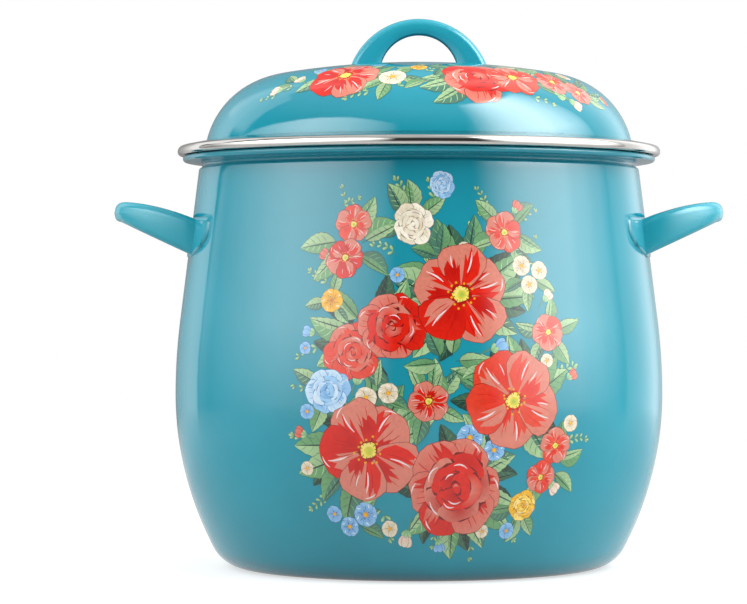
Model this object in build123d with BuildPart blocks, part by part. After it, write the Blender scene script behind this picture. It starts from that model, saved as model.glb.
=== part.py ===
from build123d import *
from math import cos, radians, sin, sqrt
import os

# Water bath canner: an enamelled belly pot with two side handles, a domed lid with a
# steel rim band and an arched handle, and a wire jar rack with two swinging bails.
# Millimetres. Origin at the centre of the pot's underside, +Z up, side handles on +/-X.

# ---- pot body -------------------------------------------------------------------------
WALL = 1.2                       # enamelled sheet, steel and glass together
BASE_FLAT_R = 117.0              # flat underside
CORNER_R, CORNER_TURN = 25.5, 62.5
BELLY_R, BELLY_TURN = 224.0, 27.6
SHOULDER_R, SHOULDER_TURN = 400.0, 7.0
WALL_TOP_Z = 269.0               # the straight upper wall ends here
NECK = (143.2, 271.4)            # waist under the rolled rim
RIM_ROOT = (158.0, 273.7)
NECK_FILLETS = [2.0, 1.4]
RIM_BEAD_R = 2.0
RIM_R = 160.0                    # outer edge of the rolled rim
RIM_TOP_Z = 277.5

# ---- lid ------------------------------------------------------------------------------
REST_GAP = 0.2                   # between a loose piece and what it rests on
LID_WALL = 1.2
LID_FOOT_R, LID_FOOT_Z = 144.2, 287.2    # where the dome meets the band
LID_CORNER_R, LID_CORNER_Z = 58.0, 275.0 # big-radius corner and its centre height
LID_TOP_Z = 340.5
LID_FLANGE_Z = 286.2             # top of the flange at the dome's foot
LID_FLANGE_END = (159.5, 283.2)
LID_BEAD_R = 2.0
LID_BEAD = (160.2, 281.0)
SKIRT_R = 141.0                  # down-turned ring that centres the lid in the mouth
SKIRT_BOTTOM_Z = 270.5
BAND_R = 163.5                   # outer radius of the steel rim band
BAND_SHOULDER_Z = 283.6
BAND_INNER_R = 149.0             # the band's lower leaf reaches in to here
BAND_WALL = 0.7
BAND_FILLETS = [3.6, 2.4]

# ---- handles --------------------------------------------------------------------------
STRAP_WALL = 1.5                 # pressed channel section
LID_ARCH_R, LID_ARCH_Z = 49.0, 322.0     # outer circle of the arch in the XZ plane
LID_GAP_R, LID_GAP_Z = 27.0, 334.2       # finger gap
LID_STRAP_FOOT_W, LID_STRAP_TOP_W = 23.0, 14.0
LID_PAD_X, LID_PAD_LENGTH = 34.0, 42.0   # weld pad centre, and its length
SIDE_TIP_X = 206.5
SIDE_LOOP_R = 40.0               # outer half width of the side handle's loop
SIDE_GAP_R = 26.0                # finger gap half width
SIDE_TIP_THICK = 10.0
SIDE_START_X = 138.0             # inside the wall, cut back to it later
SIDE_UPPER = [(SIDE_START_X, 229.4), (172.0, 242.0), (198.5, 246.6)]
SIDE_TIP = [(198.5, 246.6), (206.5, 240.0), (202.0, 233.4)]
SIDE_LOWER_START = (SIDE_START_X, 204.0)
PAD_THICK = 1.6
PAD_OUTLINE = [(24.0, 236.0), (69.0, 235.0), (70.5, 221.5), (56.0, 213.5), (38.0, 208.5), (24.0, 208.5)]
PAD_FILLETS = [6.0, 9.0, 20.0]

# ---- jar rack -------------------------------------------------------------------------
WIRE_R = 2.0                     # rings, dividers and pivot bars
THIN_WIRE_R = 1.5                # floor wires and feet
BAIL_WIRE_R = 1.5
WELD_SINK = 0.2                  # crossing wires sink into each other at a weld
FLOOR_TOP_Z = 20.0               # jars stand here
BASE_RING_R = 133.0
HUB_RING_R = 44.7
RAIL_Z = 70.0                    # centre height of the guard ring and the dividers' top bars
BAYS = 6                         # outer jar bays round the middle one
BEND_R = 5.0
FLOOR_WIRE_PITCH = 28.0
FLOOR_WIRES_EACH_SIDE = 4
FOOT_X = 60.0
PIVOT_X = 114.0
PIVOT_GAP = 0.06                 # running clearance of a bail's eye on its pivot bar
BAIL_HALF_Y = 45.0
BAIL_LENGTH = 106.0
BAIL_LIP = 16.0

PASS = 10.0                      # how far a crossing or cutting solid runs past what it meets

os.makedirs("parts", exist_ok=True)


def write(builder, name):
    """Label a finished piece and write it as its own STEP file."""
    builder.part.label = name
    export_step(builder.part, f"parts/{name}.step")


# ---- outlines of revolution, drawn in the XZ plane ------------------------------------
def pot_outline():
    """Outer line of the pot, from the middle of the base to the root of the rolled rim."""
    with BuildLine() as line:
        base = Line((0, 0), (BASE_FLAT_R, 0))
        corner = JernArc(base @ 1, (1, 0), CORNER_R, CORNER_TURN)
        belly = JernArc(corner @ 1, corner % 1, BELLY_R, BELLY_TURN)
        shoulder = JernArc(belly @ 1, belly % 1, SHOULDER_R, SHOULDER_TURN)
        start, lean = shoulder @ 1, shoulder % 1
        wall_top = start + lean * ((WALL_TOP_Z - start.Y) / lean.Y)
        FilletPolyline(start, wall_top, NECK, RIM_ROOT, radius=NECK_FILLETS)
    return line.wires()[0]


def dome_outline():
    """Outer line of the lid's dome, from its middle to its foot: two tangent arcs."""
    corner_x = LID_FOOT_R - sqrt(LID_CORNER_R**2 - (LID_FOOT_Z - LID_CORNER_Z) ** 2)
    rise = LID_TOP_Z - LID_CORNER_Z
    crown_r = (corner_x**2 + rise**2 - LID_CORNER_R**2) / (2 * (rise - LID_CORNER_R))
    to_corner = Vector(corner_x, LID_CORNER_Z - LID_TOP_Z + crown_r).normalized()
    meet = Vector(0, LID_TOP_Z - crown_r) + to_corner * crown_r
    with BuildLine() as line:
        crown = RadiusArc((0, LID_TOP_Z), meet, crown_r)
        TangentArc(meet, (LID_FOOT_R, LID_FOOT_Z), tangent=crown % 1)
    return line.wires()[0]


POT_LINE = pot_outline()
DOME_LINE = dome_outline()

# ---- pot body: drawn shell with a neck groove and a rolled rim ------------------------
with BuildPart() as pot_body:
    with BuildSketch(Plane.XZ):
        with BuildLine():
            add(POT_LINE)
            offset(amount=WALL, side=Side.LEFT)
        make_face()
        with Locations((RIM_R - RIM_BEAD_R, RIM_TOP_Z - RIM_BEAD_R)):
            Circle(RIM_BEAD_R)
    revolve(axis=Axis.Z)
write(pot_body, "pot_body")

# the pot's outside as one solid, and the same with the weld pads' thickness added
with BuildPart() as pot_form:
    with BuildSketch(Plane.XZ):
        with BuildLine():
            add(POT_LINE)
            Polyline(POT_LINE @ 1, (0, RIM_ROOT[1]), (0, 0))
        make_face()
    revolve(axis=Axis.Z)

with BuildPart() as pad_form:
    with BuildSketch(Plane.XZ):
        with BuildLine():
            add(POT_LINE)
            offset(amount=PAD_THICK, side=Side.RIGHT)
        make_face()
    revolve(axis=Axis.Z)


# ---- side handles: pressed channel loops with weld pads -------------------------------
def side_strap(inset, gap_r, gap_thick):
    """Loop seen from above crossed with its rising outline seen from the front."""
    with BuildPart() as strap:
        with BuildSketch(Plane.XY.offset(SIDE_LOWER_START[1] - PASS)):
            with Locations((SIDE_TIP_X - SIDE_LOOP_R, 0)):
                Circle(SIDE_LOOP_R - inset)
            with Locations((SIDE_START_X, 0)):
                Rectangle(
                    SIDE_TIP_X - SIDE_LOOP_R - SIDE_START_X,
                    2 * (SIDE_LOOP_R - inset),
                    align=(Align.MIN, Align.CENTER),
                )
            with Locations((SIDE_TIP_X - gap_thick - gap_r, 0)):
                Circle(gap_r, mode=Mode.SUBTRACT)
            with Locations((SIDE_START_X, 0)):
                Rectangle(
                    SIDE_TIP_X - gap_thick - gap_r - SIDE_START_X,
                    2 * gap_r,
                    align=(Align.MIN, Align.CENTER),
                    mode=Mode.SUBTRACT,
                )
        extrude(amount=SIDE_UPPER[2][1] - SIDE_LOWER_START[1] + 2 * PASS)
        with BuildSketch(Plane.XZ):
            with BuildLine():
                ThreePointArc(*SIDE_UPPER)
                ThreePointArc(*SIDE_TIP)
                Polyline(SIDE_TIP[2], SIDE_LOWER_START, SIDE_UPPER[0])
            make_face()
            if inset:
                offset(amount=-inset)
        extrude(amount=SIDE_LOOP_R + PASS, both=True, mode=Mode.INTERSECT)
    return strap.part


SIDE_SKIN = side_strap(0, SIDE_GAP_R, SIDE_TIP_THICK)
SIDE_HOLLOW = side_strap(STRAP_WALL, SIDE_GAP_R - 1, SIDE_TIP_THICK + 1)

with BuildPart() as side_pads:
    with BuildSketch(Plane.YZ.offset(BASE_FLAT_R)):
        with BuildLine():
            FilletPolyline(*PAD_OUTLINE[:5], radius=PAD_FILLETS)
            Polyline(PAD_OUTLINE[4], PAD_OUTLINE[5], PAD_OUTLINE[0])
        make_face()
        mirror(about=Plane.YZ)
    extrude(amount=SIDE_TIP_X - BASE_FLAT_R)
    add(pad_form.part, mode=Mode.INTERSECT)

with BuildPart() as handle_right:
    add(SIDE_SKIN)
    add(SIDE_HOLLOW, mode=Mode.SUBTRACT)
    add(pot_form.part, mode=Mode.SUBTRACT)
    add(side_pads.part)
write(handle_right, "handle_right")

with BuildPart() as handle_left:
    add(handle_right.part, rotation=(0, 0, 180))
write(handle_left, "handle_left")

# ---- lid shell: pressed dome, flange with a rolled edge, and a centring skirt ---------
with BuildPart() as lid_shell:
    with BuildSketch(Plane.XZ):
        with BuildLine():
            add(DOME_LINE)
            FilletPolyline(
                (LID_FOOT_R, LID_FOOT_Z), (LID_FOOT_R + 0.2, LID_FLANGE_Z), LID_FLANGE_END, radius=0.6
            )
            offset(amount=LID_WALL, side=Side.RIGHT)
        make_face()
        with Locations(LID_BEAD):
            Circle(LID_BEAD_R)
        with Locations((SKIRT_R, SKIRT_BOTTOM_Z)):
            Rectangle(LID_WALL, LID_FLANGE_Z - SKIRT_BOTTOM_Z, align=(Align.MAX, Align.MIN))
        with Locations((SKIRT_R - LID_WALL, LID_FLANGE_Z)):
            Rectangle(LID_FOOT_R - SKIRT_R + 2, LID_WALL, align=(Align.MIN, Align.MAX))
    revolve(axis=Axis.Z)
write(lid_shell, "lid_shell")

# ---- steel band, crimped round the lid's flange ---------------------------------------
with BuildPart() as lid_rim_band:
    with BuildSketch(Plane.XZ):
        with BuildLine():
            FilletPolyline(
                (LID_FOOT_R + 0.3, LID_FOOT_Z + 0.1),
                (BAND_R, BAND_SHOULDER_Z),
                (BAND_R, RIM_TOP_Z + REST_GAP),
                (BAND_INNER_R, RIM_TOP_Z + REST_GAP),
                radius=BAND_FILLETS,
            )
            offset(amount=BAND_WALL, side=Side.RIGHT)
        make_face()
    revolve(axis=Axis.Z)
write(lid_rim_band, "lid_rim_band")

# ---- lid handle: pressed channel arch with weld pads ----------------------------------
with BuildPart() as dome_form:
    with BuildSketch(Plane.XZ):
        with BuildLine():
            add(DOME_LINE)
            Polyline(DOME_LINE @ 1, (0, LID_FOOT_Z), (0, LID_TOP_Z))
        make_face()
    revolve(axis=Axis.Z)


def lid_strap(inset, gap_r):
    """Arch seen from the front crossed with its tapered outline seen from the side."""
    with BuildPart() as strap:
        with BuildSketch(Plane.XZ):
            with Locations((0, LID_ARCH_Z)):
                Circle(LID_ARCH_R - inset)
            with Locations((0, LID_GAP_Z)):
                Circle(gap_r, mode=Mode.SUBTRACT)
            with Locations((0, LID_GAP_Z)):
                Rectangle(3 * LID_ARCH_R, LID_ARCH_R * 2, align=(Align.CENTER, Align.MIN), mode=Mode.INTERSECT)
        extrude(amount=LID_STRAP_FOOT_W, both=True)
        with BuildSketch(Plane.YZ):
            with BuildLine():
                top = LID_ARCH_Z + LID_ARCH_R
                foot, crown = LID_STRAP_FOOT_W / 2 - inset, LID_STRAP_TOP_W / 2 - inset
                Polyline((-foot, LID_GAP_Z), (foot, LID_GAP_Z), (crown, top), (-crown, top), close=True)
            make_face()
        extrude(amount=2 * LID_ARCH_R, both=True, mode=Mode.INTERSECT)
    return strap.part


LID_SKIN = lid_strap(0, LID_GAP_R)
LID_HOLLOW = lid_strap(STRAP_WALL, LID_GAP_R - 1)

with BuildPart() as lid_pads:
    with BuildSketch(Plane.XY.offset(LID_GAP_Z - PASS)):
        with Locations((LID_PAD_X, 0), (-LID_PAD_X, 0)):
            SlotOverall(LID_PAD_LENGTH, LID_STRAP_FOOT_W)
    extrude(amount=LID_TOP_Z - LID_GAP_Z + PASS)
    with BuildSketch(Plane.XZ):
        with BuildLine():
            add(DOME_LINE)
            offset(amount=PAD_THICK, side=Side.LEFT)
        make_face()
    revolve(axis=Axis.Z, mode=Mode.INTERSECT)

with BuildPart() as lid_handle:
    add(LID_SKIN)
    add(LID_HOLLOW, mode=Mode.SUBTRACT)
    add(dome_form.part, mode=Mode.SUBTRACT)
    add(lid_pads.part)
write(lid_handle, "lid_handle")


# ---- jar rack -------------------------------------------------------------------------
def wire(path, wire_r):
    """Round wire swept along a path."""
    with BuildPart() as bar:
        with BuildLine() as line:
            add(path)
        with BuildSketch(Plane(origin=line.line @ 0, z_dir=line.line % 0)):
            Circle(wire_r)
        sweep(path=line.line)
    return bar


def ring(ring_r, z, wire_r):
    """Closed wire ring lying flat at height z."""
    with BuildPart() as hoop:
        with BuildSketch(Plane.XZ):
            with Locations((ring_r, z)):
                Circle(wire_r)
        revolve(axis=Axis.Z)
    return hoop


def polar(radius, angle, z):
    return Vector(radius * cos(radians(angle)), radius * sin(radians(angle)), z)


FLOOR_Z = FLOOR_TOP_Z - THIN_WIRE_R
BASE_RING_Z = FLOOR_TOP_Z + WIRE_R - WELD_SINK
GUARD_RING_R = BASE_RING_R + 2 * WIRE_R - WELD_SINK
PIVOT_Z = RAIL_Z + 2 * WIRE_R - WELD_SINK

write(ring(BASE_RING_R, BASE_RING_Z, WIRE_R), "rack_base_ring")
write(ring(HUB_RING_R, BASE_RING_Z, WIRE_R), "rack_hub_ring")
write(ring(GUARD_RING_R, RAIL_Z, WIRE_R), "rack_guard_ring")

for number in range(2 * FLOOR_WIRES_EACH_SIDE + 1):
    y = (number - FLOOR_WIRES_EACH_SIDE) * FLOOR_WIRE_PITCH
    reach = sqrt(BASE_RING_R**2 - y**2)
    floor_wire = wire(Line((-reach, y, FLOOR_Z), (reach, y, FLOOR_Z)), THIN_WIRE_R)
    write(floor_wire, f"rack_floor_wire_{number + 1}")

# one bent wire between each two bays, standing on the base ring and the hub ring
for number in range(BAYS):
    angle = number * 360 / BAYS
    leg_z = BASE_RING_Z + WIRE_R - WELD_SINK
    corners = [
        polar(HUB_RING_R, angle, leg_z),
        polar(HUB_RING_R, angle, RAIL_Z),
        polar(BASE_RING_R, angle, RAIL_Z),
        polar(BASE_RING_R, angle, leg_z),
    ]
    write(wire(FilletPolyline(*corners, radius=BEND_R), WIRE_R), f"rack_divider_{number + 1}")

# bent feet, each hanging under two neighbouring floor wires
FOOT_INNER_Y, FOOT_OUTER_Y = 2 * FLOOR_WIRE_PITCH, 3 * FLOOR_WIRE_PITCH
FOOT_TOP_Z = FLOOR_Z - THIN_WIRE_R + WELD_SINK / 2
FOOT_LOW_Z = WALL + REST_GAP + THIN_WIRE_R
for number, (side_x, side_y) in enumerate([(1, 1), (-1, 1), (-1, -1), (1, -1)]):
    corners = [
        (side_x * FOOT_X, side_y * FOOT_INNER_Y, FOOT_TOP_Z),
        (side_x * FOOT_X, side_y * FOOT_INNER_Y, FOOT_LOW_Z),
        (side_x * FOOT_X, side_y * FOOT_OUTER_Y, FOOT_LOW_Z),
        (side_x * FOOT_X, side_y * FOOT_OUTER_Y, FOOT_TOP_Z),
    ]
    write(wire(FilletPolyline(*corners, radius=BEND_R), THIN_WIRE_R), f"rack_foot_{number + 1}")

# straight pivot bars across the guard ring, and the bails folded inwards on them
pivot_reach = sqrt(GUARD_RING_R**2 - PIVOT_X**2)
eye_r = WIRE_R + PIVOT_GAP + BAIL_WIRE_R
for side, name in [(1, "right"), (-1, "left")]:
    pivot_x = side * PIVOT_X
    bar = wire(Line((pivot_x, -pivot_reach, PIVOT_Z), (pivot_x, pivot_reach, PIVOT_Z)), WIRE_R)
    write(bar, f"rack_pivot_bar_{name}")
    start_x = side * (PIVOT_X - eye_r)
    end_x = side * (PIVOT_X - BAIL_LENGTH)
    corners = [
        (start_x, -BAIL_HALF_Y, PIVOT_Z),
        (end_x, -BAIL_HALF_Y, PIVOT_Z),
        (end_x, -BAIL_HALF_Y, PIVOT_Z + BAIL_LIP),
        (end_x, BAIL_HALF_Y, PIVOT_Z + BAIL_LIP),
        (end_x, BAIL_HALF_Y, PIVOT_Z),
        (start_x, BAIL_HALF_Y, PIVOT_Z),
    ]
    loop = wire(FilletPolyline(*corners, radius=BEND_R), BAIL_WIRE_R)
    with BuildPart() as bail:
        add(loop.part)
        for eye_y in (-BAIL_HALF_Y, BAIL_HALF_Y):
            with BuildSketch(Plane.XY.offset(PIVOT_Z)):
                with Locations((pivot_x + eye_r, eye_y)):
                    Circle(BAIL_WIRE_R)
            revolve(axis=Axis((pivot_x, eye_y, PIVOT_Z), (0, 1, 0)))
    write(bail, f"rack_bail_{name}")
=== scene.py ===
import random
from math import acos, atan2, ceil, cos, degrees, hypot, pi, radians, sin, sqrt, tan

import bmesh
import bpy
from mathutils import Matrix, Vector, noise
from mathutils.geometry import delaunay_2d_cdt


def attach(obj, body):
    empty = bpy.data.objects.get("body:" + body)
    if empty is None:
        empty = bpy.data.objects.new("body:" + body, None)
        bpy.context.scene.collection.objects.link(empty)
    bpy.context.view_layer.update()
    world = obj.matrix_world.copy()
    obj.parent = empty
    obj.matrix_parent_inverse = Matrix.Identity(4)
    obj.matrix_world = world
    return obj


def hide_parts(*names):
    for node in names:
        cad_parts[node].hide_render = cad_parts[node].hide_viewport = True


# Looks of the water bath canner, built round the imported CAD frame. Metres, +Z up,
# the printed front towards -Y, side handles on +X and -X.

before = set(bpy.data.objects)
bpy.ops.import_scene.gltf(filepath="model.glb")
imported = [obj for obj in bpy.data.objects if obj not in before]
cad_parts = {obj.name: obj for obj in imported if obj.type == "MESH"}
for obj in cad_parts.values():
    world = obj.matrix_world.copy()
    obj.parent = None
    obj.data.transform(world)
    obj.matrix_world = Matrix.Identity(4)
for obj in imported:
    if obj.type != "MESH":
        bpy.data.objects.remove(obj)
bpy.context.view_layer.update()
MM = 0.001

# ---- driving dimensions, millimetres --------------------------------------------------
WALL = 1.2
BASE_FLAT_R = 117.0
BASE_RING_R = 60.0               # only splits the flat base into shorter faces
WALL_ARCS = [(25.5, 62.5), (224.0, 27.6), (400.0, 7.0)]  # corner, belly, shoulder: radius, turn
WALL_TOP_Z = 269.0
NECK = (143.2, 271.4)
RIM_ROOT = (158.0, 273.7)
RIM_BEAD_R = 2.0
RIM_R, RIM_TOP_Z = 160.0, 277.5
LID_FOOT_R, LID_FOOT_Z = 144.2, 287.2
LID_CORNER_R, LID_CORNER_Z = 58.0, 275.0
LID_TOP_Z = 340.5
LID_FLANGE_START = (144.4, 286.2)
LID_FLANGE_END = (159.5, 283.2)
LID_BEAD, LID_BEAD_R = (160.2, 281.0), 2.0
SKIRT_R, SKIRT_BOTTOM_Z = 141.0, 270.5
SKIRT_TOP_Z, SKIRT_INNER_TOP_Z = 283.8, 285.4
SKIRT_EDGE = 0.4                 # height of the rounding at the skirt's lower edge
FLANGE_UNDERSIDE = (150.0, 283.4)
SKIRT_FILLET = (1.5, 284.6)      # distance out from the skirt, height
LID_INNER_FOOT_Z = 287.5
BAND_R, BAND_SHOULDER_Z, BAND_INNER_R, BAND_WALL = 163.5, 283.6, 149.0, 0.7
BAND_CORNER_RADII = [3.6, 2.4]
REST_GAP = 0.2
STRAP_WALL = 1.5
SEGMENTS = 256                   # round the axis

# ---- colours, sRGB --------------------------------------------------------------------
TEAL = (27, 141, 160)
# painted light: the handles' teal is a lighter copy of the body's teal, standing in for the extra light the
# handles catch
LIT_HANDLE_TEAL = (33, 158, 177)
CREAM_ENAMEL = (236, 232, 218)
STEEL = (205, 203, 199)
WIRE = (196, 197, 198)


def linear(colour):
    """sRGB 0-255 to linear 0-1."""
    def channel(v):
        v /= 255
        return v / 12.92 if v <= 0.04045 else ((v + 0.055) / 1.055) ** 2.4
    return tuple(channel(v) for v in colour)


def polar(x, y, reach, angle):
    """Point at a distance and an angle from (x, y)."""
    return (x + reach * cos(angle), y + reach * sin(angle))


# ---- outlines ----------------------------------------------------------------------------
def arc_path(start, heading, pieces, step=2.5):
    """Points of tangent arcs, each (radius, turn in degrees, left is positive)."""
    x, y = start
    points = [(x, y)]
    for radius, turn in pieces:
        side = 1 if turn > 0 else -1
        cx = x - side * radius * sin(radians(heading))
        cy = y + side * radius * cos(radians(heading))
        steps = max(3, ceil(radius * radians(abs(turn)) / step), ceil(abs(turn) / 6))
        for k in range(1, steps + 1):
            a = radians(heading + turn * k / steps)
            points.append((cx + side * radius * sin(a), cy - side * radius * cos(a)))
        x, y = points[-1]
        heading += turn
    return points, heading


def rounded(points, radii, steps=6):
    """Open polyline with its inner corners rounded."""
    result = [points[0]]
    for before, corner, after, radius in zip(points, points[1:], points[2:], radii):
        c = Vector(corner)
        a, b = (Vector(before) - c).normalized(), (Vector(after) - c).normalized()
        half = a.angle(b) / 2
        reach = radius / tan(half)
        centre = c + (a + b).normalized() * radius / sin(half)
        start, end = c + a * reach - centre, c + b * reach - centre
        for k in range(steps + 1):
            p = start.slerp(end, k / steps).normalized() * radius
            result.append(tuple(centre + p))
    result.append(points[-1])
    return result


def straight(a, b, step=4.0):
    """Points from a to b, without a itself."""
    count = max(1, round((Vector(b) - Vector(a)).length / step))
    return [tuple(Vector(a).lerp(Vector(b), k / count)) for k in range(1, count + 1)]


def parallel(points, distance):
    """The open line moved sideways, to its left for a positive distance."""
    moved = []
    last = len(points) - 1
    for k, p in enumerate(points):
        d = Vector(points[min(k + 1, last)]) - Vector(points[max(k - 1, 0)])
        d.normalize()
        moved.append((p[0] - d.y * distance, p[1] + d.x * distance))
    return moved


def pot_wall():
    """Outside of the pot from the edge of the flat base up to the rim's root."""
    points, heading = arc_path((BASE_FLAT_R, 0), 0, WALL_ARCS)
    x, z = points[-1]
    top = (x + (WALL_TOP_Z - z) / tan(radians(heading)), WALL_TOP_Z)
    turned = rounded([points[-1], top, NECK, RIM_ROOT], [2.0, 1.4])
    return points + straight(points[-1], turned[1]) + turned[2:]


def dome(step=2.0):
    """Outside of the lid from its middle to its foot."""
    corner_x = LID_FOOT_R - sqrt(LID_CORNER_R**2 - (LID_FOOT_Z - LID_CORNER_Z) ** 2)
    rise = LID_TOP_Z - LID_CORNER_Z
    crown_r = (corner_x**2 + rise**2 - LID_CORNER_R**2) / (2 * (rise - LID_CORNER_R))
    turn = degrees(atan2(corner_x, LID_CORNER_Z - (LID_TOP_Z - crown_r)))
    foot = degrees(acos((LID_FOOT_Z - LID_CORNER_Z) / LID_CORNER_R))
    return arc_path((0, LID_TOP_Z), 0, [(crown_r, -turn), (LID_CORNER_R, -(foot - turn))], step)[0]


POT_WALL = pot_wall()
DOME = dome()


def radius_at(line, z):
    """Radius of an outline of revolution at a height on its way up."""
    for (r0, z0), (r1, z1) in zip(line, line[1:]):
        if (z0 - z) * (z1 - z) <= 0 and z0 != z1:
            return r0 + (r1 - r0) * (z - z0) / (z1 - z0)
    return line[0][0] if abs(z - line[0][1]) < abs(z - line[-1][1]) else line[-1][0]


# ---- meshes ------------------------------------------------------------------------------
def new_object(name, verts, faces, materials, face_slots=None):
    """Smooth mesh object from points in millimetres."""
    mesh = bpy.data.meshes.new(name)
    mesh.from_pydata([tuple(c * MM for c in v) for v in verts], [], faces)
    for material in materials:
        mesh.materials.append(material)
    if face_slots:
        mesh.polygons.foreach_set("material_index", face_slots)
    mesh.polygons.foreach_set("use_smooth", [True] * len(mesh.polygons))
    mesh.update()
    piece = bpy.data.objects.new(name, mesh)
    bpy.context.scene.collection.objects.link(piece)
    return piece


def revolved(name, outline, materials, slot_of=None):
    """Solid of revolution about Z from a closed outline of (radius, height) points."""
    verts, rings = [], []
    for r, z in outline:
        if r < 1e-6:
            rings.append([len(verts)] * SEGMENTS)
            verts.append((0, 0, z))
        else:
            rings.append(list(range(len(verts), len(verts) + SEGMENTS)))
            for k in range(SEGMENTS):
                a = 2 * pi * k / SEGMENTS
                verts.append((r * cos(a), r * sin(a), z))
    faces, slots = [], []
    count = len(outline)
    for j in range(count):
        lower, upper = rings[j], rings[(j + 1) % count]
        for k in range(SEGMENTS):
            n = (k + 1) % SEGMENTS
            corners = [lower[k], lower[n], upper[n], upper[k]]
            face = [c for i, c in enumerate(corners) if c != corners[i - 1]]
            if len(face) > 2:
                faces.append(face)
                slots.append(slot_of(j) if slot_of else 0)
    return new_object(name, verts, faces, materials, slots)


def ring_steps(points):
    """Running length along a line of points."""
    total, lengths = 0.0, [0.0]
    for a, b in zip(points, points[1:]):
        total += (Vector(b) - Vector(a)).length
        lengths.append(total)
    return lengths


def channel_section(depth, low_r, high_r, wall, bulge, steps=6, lip=0.4):
    """Closed outline of a pressed channel, open on its inner side.

    Each point is (inward, share, rise): the distance in from the outer face, the share of the
    strap's width, and millimetres added to that.
    """
    def skin(t):
        line = [(depth, 0, t), (depth * 0.6, 0, t)]
        for k in range(steps + 1):
            a = pi / 2 * k / steps
            line.append((low_r - (low_r - t) * sin(a), 0, low_r - (low_r - t) * cos(a)))
        for k in range(1, steps):
            share = k / steps
            rise = low_r * (1 - share) - high_r * share
            line.append((t - bulge * 4 * share * (1 - share), share, rise))
        for k in range(steps + 1):
            a = pi / 2 * k / steps
            line.append((high_r - (high_r - t) * cos(a), 1, -high_r + (high_r - t) * sin(a)))
        return line + [(depth * 0.6, 1, -t), (depth, 1, -t)]

    low_edge = [(depth + lip, 0, wall * 0.75), (depth + lip, 0, wall * 0.25)]
    high_edge = [(depth + lip, 1, -wall * 0.25), (depth + lip, 1, -wall * 0.75)]
    return skin(0.0) + high_edge + skin(wall)[::-1] + low_edge


def outwards(piece, weld=0.0):
    """Turns every face of a piece to look out; points closer than weld metres become one."""
    mesh = bmesh.new()
    mesh.from_mesh(piece.data)
    if weld:
        bmesh.ops.remove_doubles(mesh, verts=mesh.verts, dist=weld)
    bmesh.ops.recalc_face_normals(mesh, faces=mesh.faces)
    mesh.to_mesh(piece.data)
    mesh.free()


def tube_faces(rings, count):
    """Four-sided faces between neighbouring closed rings of count points each."""
    faces = []
    for j in range(rings - 1):
        for k in range(count):
            n = (k + 1) % count
            faces.append([j * count + k, j * count + n, (j + 1) * count + n, (j + 1) * count + k])
    return faces


def strap(name, stations, corners, place, materials):
    """Channel swept along stations (outer point, inner point); place() puts each point in space."""
    verts = []
    for index, (outer, inner) in enumerate(stations):
        depth = (Vector(inner) - Vector(outer)).length
        for inward, share, rise in channel_section(depth, *corners):
            spot = Vector(outer).lerp(Vector(inner), inward / depth)
            verts.append(place(spot, share, rise, index in (0, len(stations) - 1)))
    faces = tube_faces(len(stations), len(verts) // len(stations))
    piece = new_object(name, verts, faces, materials)
    outwards(piece)
    return piece


def pad(name, outline, thick, place, materials):
    """Thin welded plate with a rounded edge, laid on a curved wall by place(a, b, height)."""
    # the edge's way in and up, both in shares of the thickness
    levels = [(0.0, -0.3), (0.0, 0.15), (0.3, 0.55), (0.8, 0.84), (1.5, 0.97), (2.4, 1.0)]
    pitch = 5.0
    area = sum(a[0] * b[1] - b[0] * a[1] for a, b in zip(outline, outline[1:] + outline[:1]))
    side = 1 if area > 0 else -1
    count = len(outline)
    rings = []
    for inset, share in levels:
        ring = []
        for k, p in enumerate(outline):
            d = (Vector(outline[(k + 1) % count]) - Vector(outline[k - 1])).normalized()
            ring.append((p[0] - side * d.y * inset * thick, p[1] + side * d.x * inset * thick, share * thick))
        rings.append(ring)
    verts = [place(*p) for ring in rings for p in ring]
    faces = tube_faces(len(rings), count)
    inner = [Vector(p[:2]) for p in rings[-1]]
    lows = [min(p[i] for p in inner) for i in (0, 1)]
    highs = [max(p[i] for p in inner) for i in (0, 1)]
    grid = []
    for i in range(1, int((highs[0] - lows[0]) / pitch) + 1):
        for j in range(1, int((highs[1] - lows[1]) / pitch) + 1):
            grid.append(Vector((lows[0] + pitch * i, lows[1] + pitch * j)))
    flat, _, fill, _, _, _ = delaunay_2d_cdt(inner + grid, [], [list(range(count))], 1, 1e-5, True)
    start = len(verts)
    verts += [place(p.x, p.y, thick) for p in flat]
    faces += [[start + i for i in face] for face in fill]
    piece = new_object(name, verts, faces, materials)
    outwards(piece, weld=0.00002)
    return piece


# ---- materials ---------------------------------------------------------------------------
def node_material(name):
    material = bpy.data.materials.new(name)
    material.use_nodes = True
    tree = material.node_tree
    return material, tree, tree.nodes["Principled BSDF"]


def add_noise(tree, scale, detail=3.0, roughness=0.5):
    spot = tree.nodes.new("ShaderNodeTexCoord")
    node = tree.nodes.new("ShaderNodeTexNoise")
    node.inputs["Scale"].default_value = scale
    node.inputs["Detail"].default_value = detail
    node.inputs["Roughness"].default_value = roughness
    tree.links.new(spot.outputs["Object"], node.inputs["Vector"])
    return node


def ranged(tree, source, low, high, start=0.0, end=1.0):
    node = tree.nodes.new("ShaderNodeMapRange")
    node.inputs["From Min"].default_value = start
    node.inputs["From Max"].default_value = end
    node.inputs["To Min"].default_value = low
    node.inputs["To Max"].default_value = high
    tree.links.new(source, node.inputs["Value"])
    return node.outputs["Result"]


def computed(tree, operation, *values):
    """Maths node; each value is a number or another node's output."""
    node = tree.nodes.new("ShaderNodeMath")
    node.operation = operation
    for index, value in enumerate(values):
        if isinstance(value, (int, float)):
            node.inputs[index].default_value = value
        else:
            tree.links.new(value, node.inputs[index])
    return node.outputs[0]


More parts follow.
